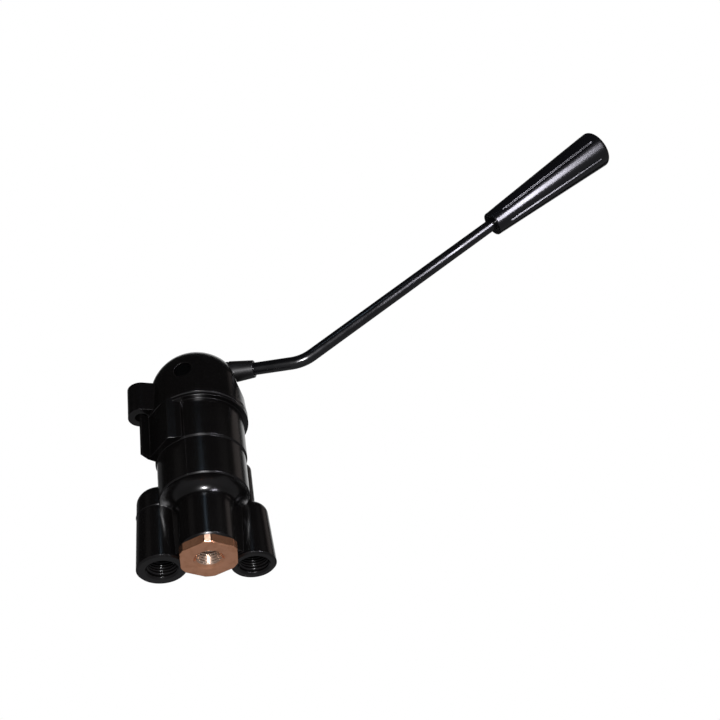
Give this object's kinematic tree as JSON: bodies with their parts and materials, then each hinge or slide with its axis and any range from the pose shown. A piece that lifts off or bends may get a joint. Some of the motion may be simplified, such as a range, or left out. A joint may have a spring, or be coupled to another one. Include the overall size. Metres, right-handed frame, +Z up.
{
  "type": "hand brake valve",
  "caption": "Hand brake valve: moulded pneumatic body with a domed cover, a cranked lever with a tapered grip, a hexagon supply adaptor and side ports.",
  "frame": {"origin": "centre of the supply adaptor's open face, on the valve's axis", "axes": "+Z runs up the valve's axis towards the domed cover; the lever lies on the +X side and swings in the XZ plane; the pivot pin runs along Y"},
  "size_m": [0.287, 0.0576, 0.2188],
  "materials": {
    "moulded_nylon": "satin near-black glass-filled nylon, fine moulded grain",
    "brass": "bright turned brass, coppery, with machined faces",
    "turned_brass": "plain turned brass",
    "bearing_bronze": "oiled sintered bronze",
    "black_rubber": "matt nitrile rubber",
    "plated_steel": "dull zinc-plated steel",
    "spring_steel": "oiled drawn spring steel",
    "pale_acetal": "smooth natural acetal",
    "black_casting": "black coated casting, satin",
    "gloss_black_rod": "gloss black painted round steel rod",
    "gloss_black_grip": "gloss black moulded plastic with fine flutes",
    "turned_aluminium": "plain turned aluminium"
  },
  "bodies": {
    "housing": {"port_body": "moulded_nylon", "supply_adaptor": "brass", "adaptor_seal": "black_rubber", "dome_cover": "moulded_nylon", "flange_gasket": "black_rubber", "cover_snap_ring": "spring_steel", "pivot_pin": "plated_steel", "pin_clip": "spring_steel", "thrust_washers": "pale_acetal", "plunger_guide": "pale_acetal", "guide_clip": "spring_steel", "valve_guide": "turned_brass", "piston_return_spring": "spring_steel", "valve_spring": "spring_steel"},
    "lever": {"lever_carrier": "black_casting", "hub_bush": "bearing_bronze", "rod_collar": "black_casting", "lever_rod": "gloss_black_rod", "lever_grip": "gloss_black_grip", "slot_shield": "pale_acetal"},
    "plunger": {"plunger": "turned_aluminium"},
    "piston": {"reaction_piston": "turned_aluminium", "piston_seal": "black_rubber", "spring_seat": "plated_steel", "graduating_spring": "spring_steel"},
    "valve": {"inlet_valve": "turned_brass", "valve_disc": "black_rubber"}
  },
  "joints": [
    {"name": "lever_swing", "type": "hinge", "parent": "housing", "child": "lever", "pos_m": [0, 0, 0.1], "axis": [0, -1, 0], "range_deg": [0, 75]},
    {"name": "plunger_slide", "type": "slide", "parent": "housing", "child": "plunger", "axis": [0, 0, 1], "range_m": [0, 0.006], "deforming": ["graduating_spring"]},
    {"name": "piston_slide", "type": "slide", "parent": "housing", "child": "piston", "axis": [0, 0, 1], "range_m": [0, 0.0015], "deforming": ["piston_return_spring"]},
    {"name": "valve_slide", "type": "slide", "parent": "housing", "child": "valve", "axis": [0, 0, -1], "range_m": [0, 0.0015], "stiffness_N_per_m": 500, "springref_m": -0.002, "deforming": ["valve_spring"]}
  ],
  "couplings": [
    {"joint": "plunger_slide", "follows": "lever_swing", "m_per_rad": 0.0045837},
    {"joint": "piston_slide", "follows": "lever_swing", "m_per_rad": 0.0011459}
  ]
}
